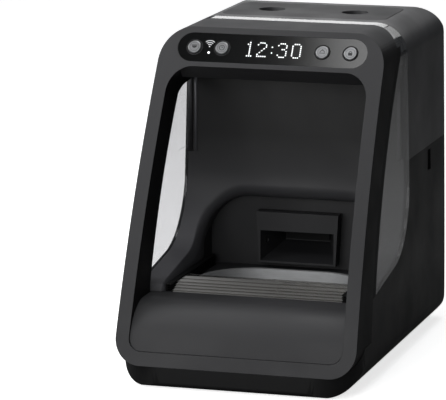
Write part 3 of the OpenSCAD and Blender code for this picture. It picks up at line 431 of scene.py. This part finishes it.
def liner_mesh():
    """Sheet, lip and funnel wall as one open grid; the thickness is added behind it.

    The arch's edge P follows |x| = 95, a corner and the crown z = 182 - 33q, q = (y - 40.5) / 220, along the sheet.
    Outward of P the sheet is straight in its developed plane; inward, the lip is the conic
    F(u) = (Q(1-u)^2 + 2kPu(1-u) + Wu^2) / ((1-u)^2 + 2ku(1-u) + u^2), with Q on the sheet and W on the funnel.
    """
    sheet_rows, lip_rows, funnel_rows, corner_steps = 24, 12, 6, 24
    # The edge by its length s on the sheet: up one side, round the corner, across the crown and down again.
    table = np.linspace(-20, 170, 8000)
    ty, tz, _, _ = seat(table)
    q = (ty - arch_y) / arch_deep
    top, rad = crown - crown_fall * q, corner_r - corner_loss * q
    alpha = np.radians(np.linspace(180, 90, corner_steps + 1))
    s_arc = np.array([np.interp(0, tz - top + rad - rad * math.sin(v), table) for v in alpha])
    r_arc = np.interp(s_arc, table, rad)
    low = nose_at - nose_r * (math.pi / 2 - ramp_tilt)
    s_side = np.concatenate([np.linspace(low, nose_at, 7)[:-1], np.linspace(nose_at, s_arc[0], 31)[:-1]])
    x_left = np.concatenate([np.full(len(s_side), -arch_half), r_arc - arch_half + r_arc * np.cos(alpha)])
    s_left = np.concatenate([s_side, s_arc])
    a_left = np.concatenate([np.full(len(s_side), math.pi), alpha])
    x_mid = np.linspace(x_left[-1], -x_left[-1], 13)[1:-1]
    x = np.concatenate([x_left, x_mid, -x_left[::-1]])
    s = np.concatenate([s_left, np.full(len(x_mid), s_left[-1]), s_left[::-1]])
    turn = np.concatenate([a_left, np.full(len(x_mid), math.pi / 2), math.pi - a_left[::-1]])
    n, side = len(x), np.sign(x)
    y, z, cy, cz = seat(s)
    P = np.stack([x, y, z], 1)
    # T runs along the edge, m away from it in the sheet, and w away from it down the funnel, which narrows backwards.
    T = np.gradient(P, axis=0)
    T /= np.linalg.norm(T, axis=1)[:, None]
    normal = np.stack([0 * x, -cz, cy], 1)
    m = np.cross(normal, T)
    shrink, fall = -corner_loss / arch_deep, -crown_fall / arch_deep
    spread = np.clip(x / -x_left[-1], -1, 1) * (1 - np.abs(np.cos(turn)))
    R = np.stack([-shrink * spread, np.ones(n), fall - shrink * (1 - np.sin(turn))], 1)
    w = R - (R * T).sum(1)[:, None] * T
    w /= np.linalg.norm(w, axis=1)[:, None]
    # The lip grows from z 100 to 154: how far it reaches out and in, and how full its conic is.
    height = np.clip((z - 100) / 54, 0, 1)
    blend = height * height * (3 - 2 * height)
    nose = np.clip((s - low) / 20, 0, 1)
    out = 3.5 + 12 * blend
    deep = np.where(s < nose_at, 5, 5 + 7 * nose) + 3 * blend
    k = (0.35 + 0.4 * blend)[:, None]
    qx, qs = x + out * m[:, 0], s + out * (m[:, 1] * cy + m[:, 2] * cz)
    qy, qz, _, _ = seat(qs)
    Q, W = np.stack([qx, qy, qz], 1), P + deep[:, None] * w
    # The funnel's wall ends at the deck, z 67, at the bay's back, y 249, or 33 deep.
    reach = np.where(w[:, 2] < -0.01, (z - 67) / np.maximum(-w[:, 2], 0.01), 99)
    reach = np.minimum(reach, np.where(w[:, 1] > 0.01, (249 - y) / np.maximum(w[:, 1], 0.01), 99))
    reach = np.maximum(np.minimum(reach, np.where(s < nose_at + 3, 7.5, 33)), deep + 1)
    # The sheet's border: up each side, then across the top.
    rim_s = bend + liner_top - seat_z
    first, last = len(s_side), n - len(s_side) - 1
    half = first + corner_steps // 2
    bs = qs.copy()
    bs[first : half + 1] = np.linspace(qs[first], rim_s, half + 1 - first)
    bs[half : n - half] = rim_s
    bs[n - half - 1 : last + 1] = np.linspace(rim_s, qs[last], last + 2 - n + half)
    _, bz, _, _ = seat(bs)
    edge = casing_half(bz) - liner_inset
    bx = side * edge
    bx[half : n - half] = np.linspace(-edge[half], edge[half], n - 2 * half)
    rows = []
    for u in np.linspace(1, 0, sheet_rows + 1):
        gy, gz, _, _ = seat(qs + (bs - qs) * u)
        rows.append(np.stack([qx + (bx - qx) * u, gy, gz], 1))
    for u in np.linspace(0, 1, lip_rows + 1)[1:]:
        a, b, c = (1 - u) ** 2, 2 * k * u * (1 - u), u * u
        rows.append((a * Q + b * P + c * W) / (a + b + c))
    for u in np.linspace(0, 1, funnel_rows + 1)[1:]:
        rows.append(P + (deep + (reach - deep) * u)[:, None] * w)
    i, j = np.meshgrid(np.arange(len(rows) - 1), np.arange(n - 1), indexing="ij")
    k0 = (i * n + j).ravel()
    return in_frame(np.concatenate(rows)), np.stack([k0, k0 + n, k0 + n + 1, k0 + 1], 1).tolist()


liner = piece("liner_with_lip", *liner_mesh(), shaded_inner_abs, "housing", "liner_black")
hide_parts("inner_liner")
shell = liner.modifiers.new("thickness", "SOLIDIFY")
shell.thickness, shell.offset, shell.use_even_offset = 2.4 * MM, -1, True
# Cut out of it, as (middle, size): two upright slots in each side of the wall, then the room of the lead slat's
# tongue, of the rack and of the pinion's shaft.
cut_boxes = [((v * 112, 32.1, 244), (2.4, 2.2, 91)) for v in (-1, 1)]
cut_boxes += [((v * 115.6, 31.9, 244), (3, 1.2, 91)) for v in (-1, 1)]
cut_boxes += [((100, 34.4, 86.6), (12, 300, 1.8)), ((101.6, 34.4, 76), (5.8, 300, 21)), ((97, -32, 66), (8, 7, 7))]
slots, uncut = mesh_group("liner_slots")
cutters = []
for middle, box_size in cut_boxes:
    box = add(slots, "GeometryNodeMeshCube", Size=[v * MM for v in box_size])
    cutters.append(add(slots, "GeometryNodeTransform", [(0, box, 0)], Translation=[v * MM for v in middle]))
cut_links = [("Mesh 1", uncut, 0)] + [("Mesh 2", cutter, 0) for cutter in cutters]
cut = add(slots, "GeometryNodeMeshBoolean", cut_links, operation="DIFFERENCE", solver="EXACT")
add(slots, "NodeGroupOutput", [(0, cut, 0)])
liner.modifiers.new("slots", "NODES").node_group = slots
round_shading(liner)

wall_y = 32.4  # the back wall's face in the row frame


def rods(x, r, proud, z0, z1):
    """Low ribs up the back wall at both sides, x + r sin t and 32.4 - proud cos t, for t from -90 to 90 degrees."""
    steps = 8
    angles = np.radians(np.linspace(-90, 90, steps + 1))
    side, z, t = (grid.ravel() for grid in np.meshgrid((-1, 1), (z0, z1), angles, indexing="ij"))
    pts = np.stack([side * x + r * np.sin(t), wall_y - proud * np.cos(t), z], 1)
    k = np.arange(steps)
    k = np.concatenate([k, k + 2 * (steps + 1)])
    return pts * MM, np.stack([k, k + 1, k + steps + 2, k + steps + 1], 1).tolist()


# The pale wall ribs stand for a highlight along their rounded edges.
for name, mat, shape in (("wall_ribs", rib_highlight_abs, (108.8, 1.5, 1.5)), ("wall_bands", ring_abs, (114.9, 2.3, 0.9))):
    rib = piece(name, *rods(*shape, 198.5, 296), mat, "housing", "liner_black")
    rib.modifiers.new("thickness", "SOLIDIFY").thickness = 0.3 * MM


def shadow_plates():
    """Painted shadow plates in the window's upper front corner, inside the canopy, 1 thick and 4.5 inside the casing's
    face.

    Each runs in y from the frame's rear arc to a curve through points read off the photograph with the fitted camera.
    """
    plate_in, plate_thick, top_z = 4.5, 1.0, 300
    curve_z = [226, 238, 246, 253, 257.8, 261.6, 265.1, 268.4, 271.4, 273.7, 274.6, 275.5]
    curve_y = [140, 152, 161, 169.5, 174.5, 177.3, 181.7, 187.6, 195.1, 204.2, 215, 231.2]
    z = np.concatenate([np.linspace(curve_z[0], 275, 50), np.linspace(curve_z[-1], top_z, 5)])
    front = arc_y - np.sqrt(arc_r**2 - (z - arc_z) ** 2) + 1
    back_y = np.maximum(np.interp(z, curve_z, curve_y), front + 0.5)
    n, sheets = len(z), []
    for side in (-1, 1):
        x = [side * (casing_half(z) - inset) for inset in (plate_in, plate_in + plate_thick)]
        ring = np.stack([np.stack([x[i], y, z], 1) for i, y in ((0, front), (0, back_y), (1, back_y), (1, front))])
        k = np.arange(n - 1)
        pairs = ((0, 1), (1, 2), (2, 3), (3, 0))
        quads = [np.stack([a * n + k, a * n + k + 1, b * n + k + 1, b * n + k], 1) for a, b in pairs]
        ends = [[0, n, 2 * n, 3 * n], [4 * n - 1, 3 * n - 1, 2 * n - 1, n - 1]]
        faces = np.concatenate(quads + [ends])
        sheets.append((ring.reshape(-1, 3), faces if side < 0 else faces[:, ::-1]))
    pts = np.concatenate([p for p, _ in sheets])
    return in_frame(pts), np.concatenate([sheets[0][1], sheets[1][1] + 4 * n]).tolist()


# The window's corner plates are the frame's painted shadow, in the darkest finish.
piece("window_corner_shadow", *shadow_plates(), rail_abs, "housing", "liner_black", smooth=False)

# The panel's plane in the row frame: its centre, and its axes across, up the face and out of it.
panel_at = np.array([0, -60.5701, 323.0])
tilt = math.radians(32.935)
panel_axes = np.array([[1, 0, 0], [0, math.sin(tilt), math.cos(tilt)], [0, -math.cos(tilt), math.sin(tilt)]])
lens_face, cap_face = -0.17, 0.93  # heights of the prints, just off the lens and the caps
cap_x = {"button_a": -81.5, "button_b": -52.5, "button_c": 52.5, "button_d": 81.5}


def on_panel(uvw):
    """Panel coordinates to the row frame: the plane's centre plus u, v, w along its three axes."""
    return (panel_at + np.asarray(uvw, float) @ panel_axes) * MM


def discs(centres, radius, height, sides=12):
    """Flat discs: each centre plus a circle of the radius, as polygons raised by the height."""
    a = np.arange(sides) * 2 * np.pi / sides
    ring = np.stack([radius * np.cos(a), radius * np.sin(a)], 1)
    rim = np.asarray(centres, float)[:, None, :] + ring[None]
    pts = np.concatenate([rim.reshape(-1, 2), np.full((rim.size // 2, 1), height)], 1)
    return pts, np.arange(len(pts)).reshape(-1, sides)


def arc_band(centre, r0, r1, a0, a1, height, steps=24):
    """A flat band between two radii and two angles, centre + r (cos a, sin a)."""
    a = np.radians(np.linspace(a0, a1, steps + 1))
    c, s = np.cos(a), np.sin(a)
    flat = np.full_like(a, height)
    pts = np.concatenate([np.stack([centre[0] + r * c, centre[1] + r * s, flat], 1) for r in (r0, r1)])
    k = np.arange(steps)
    return pts, np.stack([k, k + steps + 1, k + steps + 2, k + 1], 1)


def bar(x, y, wide, high, height):
    """A flat rectangle round a point, x +- wide / 2 and y +- high / 2."""
    corners = np.array([(-1, -1), (1, -1), (1, 1), (-1, 1)]) * [wide / 2, high / 2] + [x, y]
    return np.column_stack([corners, np.full(4, height)]), np.array([[0, 1, 2, 3]])


def print_on(name, parts, mat, body, slot):
    """One piece of several flat shapes in the panel's plane."""
    faces, base = [], 0
    for points, polygons in parts:
        faces += (polygons + base).tolist()
        base += len(points)
    points = on_panel(np.concatenate([p for p, _ in parts]))
    return piece(name, points, faces, mat, body, slot, smooth=False)


# The clock read-out shows a plain time of day in figures of dots, 8 high.
figures = {
    "1": (".#.", "##.", ".#.", ".#.", ".#.", ".#.", ".#.", "###"),
    "2": (".###.", "#...#", "....#", "...#.", "..#..", ".#...", "#....", "#####"),
    ":": (".", ".", "#", ".", ".", "#", ".", "."),
    "3": (".###.", "#...#", "....#", "..##.", "....#", "....#", "#...#", ".###."),
    "0": (".###.", "#...#", "#...#", "#...#", "#...#", "#...#", "#...#", ".###."),
}
dot_pitch, dot_r, figure_gap, readout_at = 2.12, 0.74, 2, [2.0, 0.15]
column, dots = 0, []
for figure in "12:30":
    lines = figures[figure]
    dots += [(column + u, 7 - v) for v, row in enumerate(lines) for u, mark in enumerate(row) if mark == "#"]
    column += len(lines[0]) + figure_gap
middle_column = (column - figure_gap - 1) / 2
dots = (np.array(dots) - [middle_column, 3.5]) * dot_pitch + readout_at
print_on("readout_dots", [discs(dots, dot_r, lens_face)], print_white, "housing", "led_white")

# Between the left caps: three arcs over a dot, and the status light's round window under them.
mark_x, light_at = -65.9, (-65.8, -5.6)
arcs = [arc_band((mark_x, 0.8), r, r + 0.75, 48, 132, lens_face) for r in (2.4, 4.5, 6.6)]
print_on("signal_mark", arcs + [discs([(mark_x, 1.1)], 0.8, lens_face)], print_pale, "housing", "led_white")
print_on("status_dot", [discs([light_at], 1.25, lens_face, 24)], print_white, "housing", "led_white")
rings = [arc_band((cap_x[cap], 0), 8.25, 8.55, 0, 360, lens_face, 48) for cap in ("button_a", "button_b")]
print_on("button_rings", rings, print_faint, "housing", "led_white")

# Small dark signs on the caps, each inside a painted-shade ring for a fine groove: a bowl, a clock, a lid and a lock.
for body, x in cap_x.items():
    groove_shade = arc_band((x, 0), 4.55, 4.85, 0, 360, cap_face, 40)
    signs = {
        "button_a": [arc_band((x, 1.0), 0.0, 2.6, 180, 360, cap_face), bar(x, 1.7, 6.2, 0.7, cap_face)],
        "button_b": [
            arc_band((x, 0), 2.3, 3.0, 0, 360, cap_face, 32),
            bar(x, 0.9, 0.6, 1.8, cap_face),
            bar(x + 0.7, 0, 1.5, 0.6, cap_face),
        ],
        "button_c": [
            arc_band((x, -0.4), 1.9, 2.6, 0, 180, cap_face),
            bar(x, -1.2, 6.2, 0.7, cap_face),
            bar(x, 2.7, 1.4, 0.7, cap_face),
        ],
        "button_d": [arc_band((x, 0.5), 1.1, 1.8, 0, 180, cap_face), bar(x, -1.0, 4.4, 3.0, cap_face)],
    }
    print_on(body + "_sign", [groove_shade] + signs[body], print_dark, body, "lens_black")

# The camera stands where the photograph was taken from: its direction, its focal length in pixels of the photograph,
# and its place as lengths to the right, up and back from the foot of the ring.
azimuth, elevation = math.radians(16.7), math.radians(11.0)
focal_px, photo_px, sensor = 3521, 446, 36
aim, to_right, to_top, away = np.array([0, -183, 18]), -14.15, 171.1, 3485
right = np.array([math.cos(azimuth), math.sin(azimuth), 0])
back = np.array(
    [math.sin(azimuth) * math.cos(elevation), -math.cos(azimuth) * math.cos(elevation), math.sin(elevation)]
)
up = np.cross(back, right)
eye = (aim + to_right * right + to_top * up + away * back) * MM
lens = bpy.data.cameras.new("camera")
lens.sensor_width, lens.lens = sensor, focal_px * sensor / photo_px
lens.clip_start, lens.clip_end = 0.1, 50
camera = bpy.data.objects.new("camera", lens)
camera.matrix_world = Matrix(np.vstack([np.column_stack([right, up, back, eye]), [0, 0, 0, 1]]).tolist())
bpy.context.scene.collection.objects.link(camera)
bpy.context.scene.camera = camera


def softbox(name, at, aim, wide, high, watts):
    """An area light at a place, turned to a point, in metres."""
    light = bpy.data.lights.new(name, "AREA")
    light.shape, light.size, light.size_y, light.energy = "RECTANGLE", wide, high, watts
    obj = bpy.data.objects.new(name, light)
    obj.location = at
    obj.rotation_mode = "QUATERNION"
    obj.rotation_quaternion = (Vector(at) - Vector(aim)).to_track_quat("Z", "Y")
    bpy.context.scene.collection.objects.link(obj)


# The front and top boxes light the whole. The back box mirrors in the canopy's strip and the roll box in the upper
# shell's roll; the panel box mirrors in the lens, and the left box reaches the seat through the window.
softbox("front_box", (-0.5, -2.4, 0.7), (0, 0, 0.16), 2.0, 1.4, 20)
softbox("top_box", (0.0, 0.3, 1.8), (0, 0.05, 0.3), 1.3, 1.1, 13)
softbox("back_box", (-0.9, 3.0, 0.95), (0, 0, 0.34), 1.5, 0.6, 4)
softbox("panel_box", (0.02, -0.8, 1.35), (0.0, -0.06, 0.32), 0.6, 0.4, 1.9)
softbox("roll_box", (0.6, 3.0, 1.3), (0.1, 0, 0.3), 1.4, 0.7, 2.4)
softbox("left_box", (-1.0, -0.3, 0.9), (-0.1, -0.05, 0.1), 0.6, 0.6, 8)

# A pale floor, and a pale room that the camera sees but that lights the object only a little.
floor_mat, _ = finish_of("paper_pale")
paper = add(floor_mat, "ShaderNodeBsdfDiffuse", Color=linear("#f2f2f2"), Roughness=1.0)
glow = add(floor_mat, "ShaderNodeEmission", Color=(1, 1, 1, 1), Strength=0.74)
eye_ray = add(floor_mat, "ShaderNodeLightPath")
lit = add(floor_mat, "ShaderNodeAddShader", [(0, paper, 0), (1, glow, 0)])
dull = add(floor_mat, "ShaderNodeBsdfDiffuse", Color=linear("#8c8c8c"), Roughness=1.0)
show(floor_mat, add(floor_mat, "ShaderNodeMixShader", [(0, eye_ray, "Is Camera Ray"), (1, dull, 0), (2, lit, 0)]))
half = 12.0
floor_mesh = bpy.data.meshes.new("floor")
floor_mesh.from_pydata([(-half, -half, 0), (half, -half, 0), (half, half, 0), (-half, half, 0)], [], [(0, 1, 2, 3)])
floor_mesh.materials.append(floor_mat)
floor = bpy.data.objects.new("floor", floor_mesh)
bpy.context.scene.collection.objects.link(floor)
world = bpy.data.worlds.new("room")
bpy.context.scene.world = world
world.use_nodes = True
world.node_tree.nodes.clear()
ray = add(world, "ShaderNodeLightPath")
dim = add(world, "ShaderNodeBackground", Color=(0.9, 0.95, 1, 1), Strength=0.06)
pale = add(world, "ShaderNodeBackground", Color=(1, 1, 1, 1), Strength=0.95)
seen = add(world, "ShaderNodeMixShader", [(0, ray, "Is Camera Ray"), (1, dim, 0), (2, pale, 0)])
add(world, "ShaderNodeOutputWorld", [("Surface", seen, 0)])
bpy.context.scene.view_settings.view_transform = "Standard"
